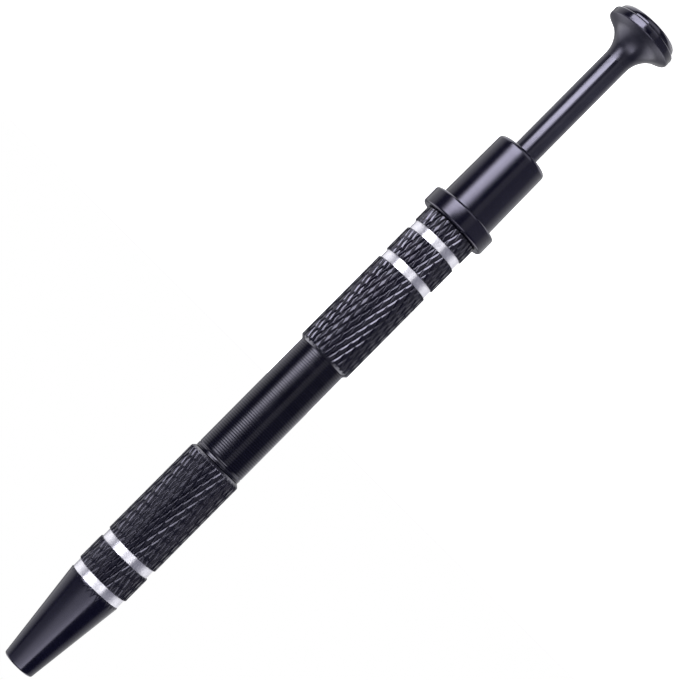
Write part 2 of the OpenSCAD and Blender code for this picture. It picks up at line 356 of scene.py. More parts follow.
def light_surround():
    """White paper for the camera, and for all other rays the surround."""
    world = bpy.data.worlds.new("paper tent")
    bpy.context.scene.world = world
    world.use_nodes = True
    tree = world.node_tree
    tree.nodes.clear()
    dim = node(tree, "Background")
    plug(tree, surround_level(tree), dim.inputs["Color"])
    white = node(tree, "Background")
    plug(tree, (1, 1, 1), white.inputs["Color"])
    pick = node(tree, "MixShader")
    join(tree, (node(tree, "LightPath").outputs["Is Camera Ray"], pick.inputs[0]),
         (dim.outputs[0], pick.inputs[1]), (white.outputs[0], pick.inputs[2]),
         (pick.outputs[0], node(tree, "OutputWorld").inputs[0]))


# The lamps

LEVEL_TO_WATT = 4.0
SOFTBOX_DISTANCE = 250.0


def hang(data, spot, facing):
    """Hangs a lamp, which the camera can't see, at a spot in metres and turns it to face that way."""
    lamp = bpy.data.objects.new(data.name, data)
    lamp.location = spot
    lamp.rotation_mode = "QUATERNION"
    lamp.rotation_quaternion = facing.to_track_quat("-Z", "Y")
    lamp.visible_camera = False
    bpy.context.scene.collection.objects.link(lamp)
    return lamp


def softbox(name, level, bearings, heights):
    """A softbox that faces the tool and is seen only in its gloss.

    Its brightness is uneven. bearings and heights are (place, share of the level) from one edge to the other,
    and heights are measured from the table.
    """
    first, last = bearings[0][0], bearings[-1][0]
    low, high = heights[0][0], heights[-1][0]
    middle = (first + last) / 2
    half = math.tan(math.radians(last - first) / 2)
    width, height = 2 * SOFTBOX_DISTANCE * half, high - low
    data = bpy.data.lights.new(name, "AREA")
    data.shape = "RECTANGLE"
    data.size = width * MM
    data.size_y = height * MM
    data.energy = level * LEVEL_TO_WATT * width * height * MM * MM
    data.use_nodes = True
    tree = data.node_tree
    tree.nodes.clear()
    place = axes_of(tree, node(tree, "NewGeometry").outputs["Parametric"])
    columns = [(0.5 - math.tan(math.radians(b - middle)) / half / 2, v) for b, v in reversed(bearings)]
    rows = [((z - low) / height, v) for z, v in heights]
    glow = node(tree, "Emission")
    shares = sums(tree, "MULTIPLY", ramp(tree, place[0], columns), ramp(tree, place[1], rows))
    join(tree, (shares, glow.inputs["Strength"]), (glow.outputs[0], node(tree, "OutputLight").inputs[0]))
    turn = math.radians(middle)
    outward = Vector((-math.sin(turn), -math.cos(turn), 0))
    lamp = hang(data, (outward * SOFTBOX_DISTANCE + Vector((0, 0, (low + high) / 2))) * MM, -outward)
    lamp.visible_diffuse = False


def light_lamps():
    """Softboxes for the gloss of each length of the tool, and a soft overhead lamp for the floor's shadow."""
    soft_edged = [(-67, 0), (-60, 0.12), (-54, 0.45), (-48, 0.93), (-42, 1), (-34, 0.96), (-26, 0.7),
                  (-20, 0.46), (-12, 0.14), (-5, 0)]
    softbox("cap softbox", 7.4, soft_edged, [(-24, 0), (-22, 1), (3, 1), (4, 0)])
    softbox("grip softbox", 7.4,
            [(-67, 0), (-60, 0.12), (-54, 0.5), (-48, 0.93), (-42, 1), (-36, 0.95), (-30, 0.6), (-25, 0.15),
             (-21, 0)],
            [(4, 0), (5, 0.7), (20, 0.78), (44, 0.85), (46, 0)])
    softbox("waist softbox", 7.4, soft_edged, [(44, 0), (48, 0.52), (80, 0.43), (91, 0.04), (120, 0)])
    softbox("rod softbox", 8.9,
            [(-68, 0), (-62, 0.12), (-56, 0.5), (-50, 0.85), (-44, 0.97), (-24, 1), (-18, 0.75), (-11, 0.3),
             (-2, 0.04), (0, 0)],
            [(-58, 0), (-57, 1), (-27, 1), (-26, 0)])
    softbox("rim softbox", 8.6, [(-66, 0), (-64, 0.8), (-46, 0.85), (-15, 1), (-13, 0)],
            [(-110, 1), (-60, 1), (-58, 0)])
    softbox("low card", 0.2, [(36, 0), (44, 1), (86, 1), (100, 0)],
            [(-110, 0.85), (-30, 0.75), (-12, 0.7), (0, 1), (28, 1), (33, 0)])
    nose_heights = [(186, 0), (196, 1), (290, 1), (300, 0)]
    softbox("nose softbox left", 3.0, [(-76, 0.08), (-60, 0.12), (-47, 0.15), (-35, 0.21), (-18, 0.28)],
            nose_heights)
    softbox("nose softbox right", 3.0, [(-18, 0.28), (0, 0.47), (12, 0.58), (24, 0.8), (34, 1), (36, 0)],
            nose_heights)
    over = bpy.data.lights.new("overhead softbox", "AREA")
    over.shape = "DISK"
    over.size = 0.5
    over.energy = 0.9 * LEVEL_TO_WATT * math.pi * (over.size / 2) ** 2
    spot = Vector((0.14, -0.08, 0.48))
    hang(over, spot, -spot).visible_glossy = False


def lay_floor():
    """A plain pale floor that looks white to the camera, keeps the tool's shadow and is clear from below."""
    half_width = 3000 * MM
    height = -0.02 * MM
    mesh = bpy.data.meshes.new("pale floor")
    corners = [(x * half_width, y * half_width, height) for x, y in ((-1, -1), (1, -1), (1, 1), (-1, 1))]
    mesh.from_pydata(corners, [], [(0, 1, 2, 3)])
    floor = bpy.data.objects.new("pale floor", mesh)
    bpy.context.scene.collection.objects.link(floor)
    floor.visible_glossy = False
    floor.visible_shadow = False
    paper = bpy.data.materials.new("white paper")
    paper.use_nodes = True
    tree = paper.node_tree
    tree.nodes.clear()
    matt = node(tree, "BsdfDiffuse")
    plug(tree, (0.9, 0.9, 0.9), matt.inputs["Color"])
    lift = node(tree, "Emission")
    seen = sums(tree, "MULTIPLY", node(tree, "LightPath").outputs["Is Camera Ray"], 0.95)
    both = node(tree, "AddShader")
    sided = node(tree, "MixShader")
    join(tree, (seen, lift.inputs["Strength"]),
         (matt.outputs[0], both.inputs[0]), (lift.outputs[0], both.inputs[1]),
         (node(tree, "NewGeometry").outputs["Backfacing"], sided.inputs[0]),
         (both.outputs[0], sided.inputs[1]), (node(tree, "BsdfTransparent").outputs[0], sided.inputs[2]),
         (sided.outputs[0], node(tree, "OutputMaterial").inputs[0]))
    mesh.materials.append(paper)


# Effects that several finishes share

def make_turning_lines():
    """The fine rings that a lathe tool leaves, as a height, and a mask that differs from ring to ring."""
    group, into, out = new_group("lathe turning lines", {"Feed": 0.28, "Regular": 0.6, "Fine": 8.0},
                                 ("Height", "Bands"))
    feed, height = into.outputs["Feed"], axes_of(group, own_point(group))[2]
    wave = sums(group, "SINE", sums(group, "MULTIPLY", sums(group, "DIVIDE", height, feed), FULL_TURN))
    fine = noise(group, "1D", height, into.outputs["Fine"], 3)
    # The chatter is read far off along the noise, so that it keeps no step with the fine lines
    elsewhere = sums(group, "ADD", height, 31.7)
    chatter = noise(group, "1D", elsewhere, sums(group, "DIVIDE", 0.35, feed), 1)
    regular = sums(group, "MULTIPLY", sums(group, "MULTIPLY", wave, 0.5),
                   sums(group, "MULTIPLY", chatter, into.outputs["Regular"]))
    join(group, (sums(group, "ADD", regular, fine), out.inputs["Height"]), (chatter, out.inputs["Bands"]))
    return group


def make_handling():
    """Marks of handling: faint smears, and small specks of dust that gather in some of them."""
    group, into, out = new_group("handling marks", {"Size": 6.0, "Dust": 0.5}, ("Smears", "Specks"))
    point = own_point(group)
    smear = noise(group, "3D", point, sums(group, "DIVIDE", 1.0, into.outputs["Size"]), 4, 0.55)
    speck = node(group, "TexVoronoi", feature="F1")
    plug(group, 1.6, speck.inputs["Scale"])
    plug(group, point, speck.inputs["Vector"])
    dots = spread(group, speck.outputs["Distance"], 0.03, 0.07, 1, 0)
    rare = spread(group, smear, 0.5, 0.6, 0, into.outputs["Dust"])
    join(group, (spread(group, smear, 0.3, 0.7, 0, 1), out.inputs["Smears"]),
         (sums(group, "MULTIPLY", dots, rare), out.inputs["Specks"]))
    return group


def make_knurl_wear():
    """Marks the rubbed crests, by how high a point of the knurl stands, and gives the surface its grain."""
    group, into, out = new_group("knurl wear", {"Rub": 0.5}, ("Crest", "Grain"))
    rise = node(group, "Attribute", attribute_name="knurl_rise").outputs["Fac"]
    grain = noise(group, "3D", own_point(group), 7, 5, 0.7)
    crest = sums(group, "MULTIPLY", spread(group, rise, 0.7, 1.0, 0, 1), into.outputs["Rub"])
    rubbed = sums(group, "MULTIPLY", crest, spread(group, grain, 0.35, 0.65, 0, 1))
    join(group, (rubbed, out.inputs["Crest"]), (grain, out.inputs["Grain"]))
    return group


# The finishes

DEEP_BLACK = (0.0014, 0.0014, 0.006)
BLACK_GLOSS = (0.79, 0.765, 1.0)
KNURL_BLACK = (0.0016, 0.0016, 0.006)
KNURL_GLOSS = (0.81, 0.79, 1.0)
RUBBED_BLACK = (0.028, 0.028, 0.036)
DUST = (0.12, 0.12, 0.13)


def blank_finish(name):
    """A material with only its Principled shader and output."""
    made = bpy.data.materials.new(name)
    made.use_nodes = True
    tree = made.node_tree
    tree.nodes.clear()
    shader = node(tree, "BsdfPrincipled")
    join(tree, (shader.outputs[0], node(tree, "OutputMaterial").inputs[0]))
    return made, tree, shader


def raise_surface(tree, height, depth, shader):
    """Feeds a height to the shader's normal through a Bump that is that deep."""
    bump = node(tree, "Bump")
    bump.inputs["Strength"].default_value = 1
    bump.inputs["Distance"].default_value = depth * MM
    join(tree, (height, bump.inputs["Height"]), (bump.outputs[0], shader.inputs["Normal"]))


def stretch_gloss(tree, shader, stretch):
    """Turning lines run round the piece, so they draw its gloss out along it."""
    round_it = node(tree, "Tangent", direction_type="RADIAL", axis="Z")
    join(tree, (round_it.outputs[0], shader.inputs["Tangent"]))
    shader.inputs["Anisotropic"].default_value = stretch
    shader.inputs["Anisotropic Rotation"].default_value = 0.25


def run_out_marks(tree):
    """Nicks in the cone's wide end, where the knurling wheel ran over its edge on one side.

    1 is plain metal, and 0 is the floor of a nick.
    """
    marked_side = math.radians(-125)
    x, y, z = axes_of(tree, own_point(tree))
    station = sums(tree, "SUBTRACT", TOOL_LENGTH, z)
    angle = sums(tree, "ARCTAN2", y, x)
    turns = sums(tree, "MULTIPLY", angle, KNURL_COUNT / FULL_TURN)
    along = sums(tree, "DIVIDE", station, KNURL_LENGTH)
    plain = [spread(tree, sums(tree, "PINGPONG", sums(tree, hand, turns, along), 0.5), 0, 0.17, 0, 1)
             for hand in ("ADD", "SUBTRACT")]
    reach = spread(tree, station, CONE_LENGTH - 1.0, CONE_LENGTH - 0.1, 0, 1)
    facing = sums(tree, "COSINE", sums(tree, "SUBTRACT", angle, marked_side))
    marked = sums(tree, "MULTIPLY", reach, spread(tree, facing, 0.6, 0.85, 0, 1))
    nick = sums(tree, "SUBTRACT", 1, sums(tree, "MINIMUM", *plain))
    return sums(tree, "SUBTRACT", 1, sums(tree, "MULTIPLY", marked, nick))


def black_anodised(name, feed, line_depth, gloss, regular=0.6, fine=8.0, black=DEEP_BLACK, tint=BLACK_GLOSS,
                   stretch=0.0, line_shade=0.0, nick_depth=0.0):
    """Black anodised aluminium, as smooth as the lathe left that piece, and as deep a black as it took.

    line_shade dulls the floors of the turning lines, and nick_depth is for the cone's run-out marks.
    """
    made, tree, shader = blank_finish(name)
    lines = placed(tree, turning_lines, feed=feed, regular=regular, fine=fine)
    marks = placed(tree, handling, size=5.0, dust=0.5)
    base = mixed(tree, marks["Smears"], black, tuple(1.5 * c + 0.001 for c in black))
    dusty = mixed(tree, marks["Specks"], base, DUST)
    rough = sums(tree, "ADD", spread(tree, marks["Smears"], 0, 1, gloss - 0.03, gloss + 0.04),
                 sums(tree, "MULTIPLY", lines["Bands"], 0.04))
    join(tree, (dusty, shader.inputs["Base Color"]), (rough, shader.inputs["Roughness"]))
    if line_shade:
        shade = spread(tree, lines["Height"], 0.35, 0.65, line_shade, 0)
        join(tree, (shade, shader.inputs["Metallic"]))
    shader.inputs["IOR"].default_value = 1.6
    shader.inputs["Specular Tint"].default_value = (*tint, 1)
    if stretch:
        stretch_gloss(tree, shader, stretch)
    if nick_depth:
        ringed = sums(tree, "MULTIPLY", lines["Height"], line_depth / nick_depth)
        raise_surface(tree, sums(tree, "ADD", run_out_marks(tree), ringed), nick_depth, shader)
    else:
        raise_surface(tree, lines["Height"], line_depth, shader)
    return made


def knurled_black(name, rough, rub, grain):
    """The knurl's black, rougher than the turned black, with rubbed crests."""
    made, tree, shader = blank_finish(name)
    wear = placed(tree, knurl_wear, rub=rub)
    marks = placed(tree, handling, size=4.0, dust=0.6)
    base = mixed(tree, wear["Crest"], KNURL_BLACK, RUBBED_BLACK)
    gloss = sums(tree, "ADD", spread(tree, wear["Grain"], 0.3, 0.7, rough - 0.06, rough + 0.06),
                 sums(tree, "MULTIPLY", marks["Smears"], 0.05))
    join(tree, (base, shader.inputs["Base Color"]), (gloss, shader.inputs["Roughness"]))
    shader.inputs["IOR"].default_value = 1.65
    shader.inputs["Specular Tint"].default_value = (*KNURL_GLOSS, 1)
    raise_surface(tree, wear["Grain"], grain, shader)
    return made


def bare_metal(name, light, dark, gloss, feed, line_depth, fine=8.0, metal=1.0, stretch=0.0):
    """A bare turned or drawn metal: aluminium, zinc-plated steel, spring steel or brass."""
    made, tree, shader = blank_finish(name)
    lines = placed(tree, turning_lines, feed=feed, regular=0.5, fine=fine)
    marks = placed(tree, handling, size=3.0, dust=0.3)
    join(tree, (mixed(tree, marks["Smears"], light, dark), shader.inputs["Base Color"]),
         (spread(tree, marks["Smears"], 0, 1, gloss - 0.03, gloss + 0.05), shader.inputs["Roughness"]))
    shader.inputs["Metallic"].default_value = metal
    if stretch:
        stretch_gloss(tree, shader, stretch)
    raise_surface(tree, lines["Height"], line_depth, shader)
    return made


# Turned skins, drawn as rows of (radius, station)

AROUND = 360

# The order of the finishes on the sleeve and the barrel
BLACK, KNURL, RING, BORE = range(4)


def corner(radius, station, fillet, start, end, steps=8, length=None):
    """Rows of a round corner about a centre, from one angle to another in degrees.

    length is how far the corner reaches along the tool, where that differs from its fillet.
    """
    angles = np.radians(np.linspace(start, end, steps + 1))
    return [(radius + fillet * math.cos(a), station + (length or fillet) * math.sin(a)) for a in angles]


def cut(first, last, steps):
    """Rows along a straight stretch, cut in that many steps."""
    return [tuple(a + (b - a) * t / steps for a, b in zip(first, last)) for t in range(steps)] + [last]


def standing(radius, around, station):
    """A point in metres on the standing tool."""
    return radius * MM * math.cos(around), radius * MM * math.sin(around), (TOOL_LENGTH - station) * MM


def lay_ring(shape, radius, station):
    """A ring of points all round, or the one point on the centre line."""
    count = 1 if radius < 1e-9 else AROUND
    return [shape.verts.new(standing(radius, FULL_TURN * k / count, station)) for k in range(count)]


def around_of(point):
    """The angle of a point round the tool, from 0 to a full turn."""
    return math.atan2(point.co.y, point.co.x) % FULL_TURN


def bridge(shape, near, far, finish):
    """Faces from one ring of points to the next, whose points need not stand at the same angles."""
    def face(*points):
        shape.faces.new(points).material_index = finish

    if len(near) == 1 or len(far) == 1:
        for k in range(max(len(near), len(far))):
            if len(near) == 1:
                face(near[0], far[k], far[(k + 1) % len(far)])
            else:
                face(near[k], far[0], near[(k + 1) % len(near)])
        return
    here, there = [around_of(p) for p in near], [around_of(p) for p in far]
    if len(near) == len(far) and max(abs(a - b) for a, b in zip(here, there)) < 1e-5:
        for k in range(len(near)):
            n = (k + 1) % len(near)
            face(near[k], far[k], far[n], near[n])
        return
    i = j = 0
    while i < len(near) or j < len(far):
        step_near = here[i + 1] if i + 1 < len(near) else here[0] + FULL_TURN
        step_far = there[j + 1] if j + 1 < len(far) else there[0] + FULL_TURN
        if j == len(far) or (i < len(near) and step_near <= step_far):
            face(near[i % len(near)], far[j % len(far)], near[(i + 1) % len(near)])
            i += 1
        else:
            face(near[i % len(near)], far[j % len(far)], far[(j + 1) % len(far)])
            j += 1


def turn_rows(shape, last, rows, finish):
    """Carries a turned surface on from its last ring of points, if any, and returns its new last ring."""
    for radius, station in rows:
        ring = lay_ring(shape, radius, station)
        if last is not None:
            bridge(shape, last, ring, finish)
        last = ring
    return last


def finished(name, shape, finishes, sharp=28):
    """Makes the piece, sharp where faces meet at more than that angle, and notes how high its knurl is."""
    mesh = bpy.data.meshes.new(name)
    for face in shape.faces:
        face.smooth = True
    shape.to_mesh(mesh)
    shape.free()
    mesh.set_sharp_from_angle(angle=math.radians(sharp))
    for finish in finishes:
        mesh.materials.append(finish)
    spots = np.zeros(len(mesh.vertices) * 3, np.float32)
    mesh.vertices.foreach_get("co", spots)
    away = np.hypot(spots[0::3], spots[1::3]) / MM
    share = np.clip((away - GRIP_R + KNURL_DEPTH) / KNURL_DEPTH, 0, 1)
    rise = mesh.attributes.new("knurl_rise", "FLOAT", "POINT")
    rise.data.foreach_set("value", share.astype(np.float32))
    piece = bpy.data.objects.new(name, mesh)
    bpy.context.scene.collection.objects.link(piece)
    return piece


def fit(piece, body, cad_node):
    """The piece rides on its body and stands for its solid, which it hides."""
    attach(piece, body)
    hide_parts(cad_node)


# The knurl, whose grid of faces follows its grooves

# How far the flanks of each hand's grooves reach from the bottom, as a share of the way to the next groove
FLANK_SHARE = (0.26, 0.235)

# How far the grid lines on each side of a groove stand from it, as the same share
GRID = (0.0, 0.08, 0.15, 0.21, 0.255, 0.3, 0.5)

# Grid lines from one groove to the next
GRID_LINES = 2 * (len(GRID) - 1)

chance = np.random.default_rng(7)


def rolled_grooves(deepest):
    """For each groove of one hand, its share of the full depth, and how fast and where that share drifts."""
    shares = chance.uniform(deepest - 0.16, deepest, KNURL_COUNT)
    drifts = chance.uniform(0.3, 1.4, KNURL_COUNT)
    return np.stack([shares, drifts, chance.uniform(0, FULL_TURN, KNURL_COUNT)], 1)


GROOVES = [rolled_grooves(deepest) for deepest in (1.0, 0.82)]


def groove_rise(turns, station, hand):
    """How high the metal stands beside the grooves of one hand, from 0 to 1, at that many grooves round."""
    number = np.rint(turns).astype(int)
    share, drift, phase = GROOVES[hand][number % KNURL_COUNT].T
    flank = 1 - (1 - np.clip(np.abs(turns - number) / FLANK_SHARE[hand], 0, 1)) ** 1.15
    return 1 - share * (1 + 0.08 * np.sin(drift * station + phase)) * (1 - flank)


def knurl_radius(around, station):
    """Radius of the knurled surface at an angle round the tool, in radians, and a station."""
    turns = around * KNURL_COUNT / FULL_TURN
    along = station / KNURL_LENGTH
    rise = np.minimum(groove_rise(turns + along, station, 0), groove_rise(turns - along, station, 1))
    return GRIP_R - KNURL_DEPTH * (1 - rise)


def grid_place(line):
    """Where a grid line of one hand stands, counted in grooves."""
    groove, step = divmod(line, GRID_LINES)
    return groove + (GRID[step] if step < len(GRID) else 1 - GRID[GRID_LINES - step])


def diamond_cells(start, end):
    """The grid cells between two stations, each corner as (line, line) of the two hands of grooves."""
    rows = range(math.floor(2 * start / KNURL_LENGTH) - 1, math.ceil(2 * end / KNURL_LENGTH) + 1)
    steps = range(GRID_LINES)
    for row, turn, i, j in itertools.product(rows, range(KNURL_COUNT), steps, steps):
        both = row % 2 + 2 * turn
        a = (both + row) // 2 * GRID_LINES + i
        b = (both - row) // 2 * GRID_LINES + j
        cell_end = (grid_place(a + 1) - grid_place(b)) / 2 * KNURL_LENGTH
        cell_start = (grid_place(a) - grid_place(b + 1)) / 2 * KNURL_LENGTH
        if cell_end < start or cell_start > end:
            continue
        corners = ((a, b), (a + 1, b), (a + 1, b + 1), (a, b + 1))
        if i == j:
            yield corners[0], corners[1], corners[2]
            yield corners[0], corners[2], corners[3]
        elif i + j == GRID_LINES - 1:
            yield corners[0], corners[1], corners[3]
            yield corners[1], corners[2], corners[3]
        else:
            yield corners


def flat_band(start, end, breaks):
    """The knurl's grid on a cylinder of radius 1, cut off at start and end and split at the breaks."""
    band = bmesh.new()
    crossings = {}
    lines_round = GRID_LINES * KNURL_COUNT

    def crossing(a, b):
        """The point where two grid lines cross."""
        turned = (a + b) // (2 * lines_round) * lines_round
        key = (a - turned, b - turned)
        if key not in crossings:
            u, v = grid_place(key[0]), grid_place(key[1])
            angle = (u + v) * math.pi / KNURL_COUNT
            crossings[key] = band.verts.new((math.cos(angle), math.sin(angle), (u - v) / 2 * KNURL_LENGTH))
        return crossings[key]

    for cell in diamond_cells(start, end):
        band.faces.new([crossing(a, b) for a, b in cell])
    cuts = [(start, {"clear_inner": True}), (end, {"clear_outer": True})] + [(place, {}) for place in breaks]
    for place, side in cuts:
        bmesh.ops.bisect_plane(band, geom=band.verts[:] + band.edges[:] + band.faces[:], dist=1e-6,
                               plane_co=(0, 0, place), plane_no=(0, 0, 1), **side)
    return band


def knurl_band(shape, last, start, end, limit, finish, breaks=()):
    """A knurled band that stays inside limit(station), which bends at the breaks. Returns its last ring."""
    band = flat_band(start, end, breaks)
    points = list(band.verts)
    around = np.array([around_of(p) for p in points])
    stations = np.array([p.co.z for p in points])
    radii = np.minimum(knurl_radius(around, stations), [limit(s) for s in stations])
    moved = {p: shape.verts.new(standing(r, a, s)) for p, r, a, s in zip(points, radii, around, stations)}
    for face in band.faces:
        made = shape.faces.new([moved[p] for p in face.verts])
        made.material_index = finish
        made.normal_update()
        middle = made.calc_center_median()
        if made.normal.x * middle.x + made.normal.y * middle.y < 0:
            made.normal_flip()
    rings = [sorted((moved[p] for p in points if abs(p.co.z - place) < 1e-5), key=around_of)
             for place in (start, end)]
    band.free()
    bridge(shape, last, rings[0], finish)
    return rings[1]


def grip(shape, last, start, end, front, back):
    """A knurled grip. front and back say how its ends are cut back, as a radius and a length."""
    over_crest = GRIP_R + 0.01

    def limit(station):
        return min(front[0] + (over_crest - front[0]) * (station - start) / front[1],
                   back[0] + (over_crest - back[0]) * (end - station) / back[1])

    breaks = (start + front[1] / 2, start + front[1], end - back[1], end - back[1] / 2)
    return knurl_band(shape, last, start, end, limit, KNURL, breaks)


# The turned pieces

NOSE_ROUND = corner(NOSE_R - NOSE_FILLET, NOSE_FILLET, NOSE_FILLET, -90, -7)


def cone_r(station):
    """Radius of the nose cone, from the end of its round nose to the lip at its wide end."""
    start_r, start = NOSE_ROUND[-1]
    return start_r + (CONE_R - start_r) * (station - start) / (CONE_LENGTH - CONE_LIP - start)


def bright_ring(shape, last, start, neighbour):
    """A ring cut bright. Its front edge takes the finish of its neighbour."""
    edge = turn_rows(shape, last, [(RING_R, start)], neighbour)
    return turn_rows(shape, edge, [(RING_R, start + RING_WIDTH / 2), (RING_R, start + RING_WIDTH)], RING)


def make_front_sleeve():
    """Nose cone, ring pair and front grip. The deepest grooves still run out on the cone's wide end."""
    shape = bmesh.new()
    run_out_end = CONE_LENGTH - CONE_LIP
    run_out_start = run_out_end - RUN_OUT_LENGTH
    first = turn_rows(shape, None, [(MOUTH_R + MOUTH_ROUND, 0.0)], BLACK)
    at = turn_rows(shape, first, NOSE_ROUND, BLACK)
    cone_stations = np.linspace(2 * NOSE_FILLET, run_out_start - 0.05, 14)
    at = turn_rows(shape, at, [(cone_r(s), s) for s in cone_stations], BLACK)
    at = knurl_band(shape, at, run_out_start, run_out_end, cone_r, BLACK)
    at = bright_ring(shape, at, CONE_LENGTH, BLACK)
    at = grip(shape, at, CONE_LENGTH + RING_WIDTH, FRONT_RING_2, RING_EDGE, RING_EDGE)
    at = bright_ring(shape, at, FRONT_RING_2, KNURL)
    at = grip(shape, at, FRONT_RING_2 + RING_WIDTH, SLEEVE_LENGTH, RING_EDGE, GRIP_CHAMFER)
    at = turn_rows(shape, at, [
        (THREAD_R + SOCKET_CHAMFER + 0.05, SLEEVE_LENGTH), (THREAD_R + SOCKET_CHAMFER, SLEEVE_LENGTH),
        (THREAD_R, SLEEVE_LENGTH - SOCKET_CHAMFER), (THREAD_R, SOCKET_START), (SPRING_BORE_R, SOCKET_START),
        (SPRING_BORE_R, SPRING_SHOULDER), (GUIDE_BORE_R, SPRING_SHOULDER), (GUIDE_BORE_R, FUNNEL_END),
        (MOUTH_R, MOUTH_LAND), (MOUTH_R, MOUTH_ROUND)], BORE)
    at = turn_rows(shape, at, corner(MOUTH_R + MOUTH_ROUND, MOUTH_ROUND, MOUTH_ROUND, 195, 255, 4), BLACK)
    bridge(shape, at, first, BLACK)
    finishes = [cone_black, knurl_front_black, ring_bright, bore_black]
    fit(finished("front_sleeve_turned", shape, finishes, 40), "housing", "front_sleeve")


def make_barrel():
    """Waist and rear grip with its ring pair."""
    shape = bmesh.new()
    spigot_r = THREAD_R - SCREW_GAP
    first = turn_rows(shape, None, [(SPRING_BORE_R, SPIGOT_START)], BORE)
    at = turn_rows(shape, first, [
        (spigot_r - SPIGOT_CHAMFER, SPIGOT_START), (spigot_r, SPIGOT_START + SPIGOT_CHAMFER),
        (spigot_r, SLEEVE_LENGTH), (WAIST_R - WAIST_CHAMFER, SLEEVE_LENGTH)], BORE)
    at = turn_rows(shape, at, [
        (WAIST_R, SLEEVE_LENGTH + WAIST_CHAMFER), (WAIST_R, RELIEF_START),
        (WAIST_R - RELIEF_DEPTH, RELIEF_START + RELIEF_WIDTH / 2), (WAIST_R, RELIEF_START + RELIEF_WIDTH),
        *cut((WAIST_R, SLEEVE_LENGTH + 1.0), (WAIST_R, REAR_GRIP_START - 0.15), 12),
        (WAIST_R, REAR_GRIP_START)], BLACK)
    at = grip(shape, at, REAR_GRIP_START, REAR_RING_1, GRIP_CHAMFER, RING_EDGE)
    at = bright_ring(shape, at, REAR_RING_1, KNURL)
    at = grip(shape, at, REAR_RING_1 + RING_WIDTH, REAR_RING_2, RING_EDGE, RING_EDGE)
    at = bright_ring(shape, at, REAR_RING_2, KNURL)
    at = grip(shape, at, REAR_RING_2 + RING_WIDTH, BARREL_END, RING_EDGE, FLANGE_EDGE)
    at = turn_rows(shape, at, [
        (BARREL_END_R, BARREL_END), (CAP_THREAD_R, BARREL_END), (CAP_THREAD_R, CAP_SOCKET_FLOOR),
        (SPRING_BORE_R, CAP_SOCKET_FLOOR)], BORE)
    bridge(shape, at, first, BORE)
    finishes = [waist_black, knurl_rear_black, ring_bright, bore_black]
    fit(finished("barrel_turned", shape, finishes, 40), "housing", "barrel")


def make_end_cap():
    """Finger flange and rear guide."""
    cap, inside, flange = range(3)
    shape = bmesh.new()
    bore_r = ROD_R + RUNNING_GAP
    spigot_r = CAP_THREAD_R - SCREW_GAP
    flange_round = FLANGE_R - FLANGE_FILLET
    foot_r = CAP_R + CAP_ROOT_FILLET
    first = turn_rows(shape, None, [(bore_r, CAP_SPIGOT_START)], inside)
    at = turn_rows(shape, first, [
        (spigot_r - CAP_SPIGOT_CHAMFER, CAP_SPIGOT_START), (spigot_r, CAP_SPIGOT_START + CAP_SPIGOT_CHAMFER),
        (spigot_r, BARREL_END)], inside)
    at = turn_rows(shape, at, [
        *corner(flange_round, BARREL_END + FLANGE_FILLET, FLANGE_FILLET, -90, 0),
        *corner(flange_round, CAP_START - FLANGE_FILLET, FLANGE_FILLET, 0, 90), (foot_r, CAP_START)], flange)
    at = turn_rows(shape, at, [
        *corner(foot_r, CAP_START + CAP_ROOT_FILLET, CAP_ROOT_FILLET, 250, 180, 4),
        *cut((CAP_R, CAP_START + 0.15), (CAP_END_R + 0.006, CAP_END - 0.7), 12),
        *corner(CAP_END_R - CAP_END_FILLET, CAP_END - CAP_END_FILLET, CAP_END_FILLET, 3, 90, 12),
        (bore_r + CAP_BORE_CHAMFER, CAP_END)], cap)
    at = turn_rows(shape, at, [(bore_r, CAP_END - CAP_BORE_CHAMFER)], inside)
    bridge(shape, at, first, inside)
    finishes = [cap_black, bore_black, flange_black]
    fit(finished("end_cap_turned", shape, finishes), "housing", "end_cap")


def make_push_rod():
    """Rod, trumpet and thumb button."""
    rod, trumpet, rim = range(3)
    shape = bmesh.new()
    at = turn_rows(shape, None, [
        (0, ROD_START), (ROD_SPIGOT_R - ROD_CHAMFER, ROD_START), (ROD_SPIGOT_R, ROD_START + ROD_CHAMFER),
        (ROD_SPIGOT_R, HOLDER_END), (ROD_R - ROD_CHAMFER, HOLDER_END),
        *cut((ROD_R, HOLDER_END + ROD_CHAMFER), (ROD_R, TRUMPET_START - 0.2), 24)], rod)
    at = turn_rows(shape, at, [
        *corner(ROD_R + TRUMPET_RADIUS, TRUMPET_START, TRUMPET_RADIUS, 180, 180 - TRUMPET_ANGLE, 24),
        *corner(BUTTON_R - LIP_FILLET, LIP_STATION, LIP_FILLET, -TRUMPET_ANGLE, 0, 6)], trumpet)
    thumb_edge = corner(THUMB_R - THUMB_EDGE_WIDTH, TOOL_LENGTH - THUMB_EDGE_HEIGHT, THUMB_EDGE_WIDTH,
                        0, 90, 12, THUMB_EDGE_HEIGHT)
    turn_rows(shape, at, [
        *corner(BUTTON_R - RIM_FILLET, RIM_TOP - RIM_FILLET, RIM_FILLET, 0, 90, 6), (THUMB_R, RIM_TOP),
        *thumb_edge, (THUMB_R / 2, TOOL_LENGTH), (0, TOOL_LENGTH)], rim)
    finishes = [rod_black, trumpet_black, rim_black]
    fit(finished("push_rod_turned", shape, finishes), "plunger", "push_rod")


# The wire pieces

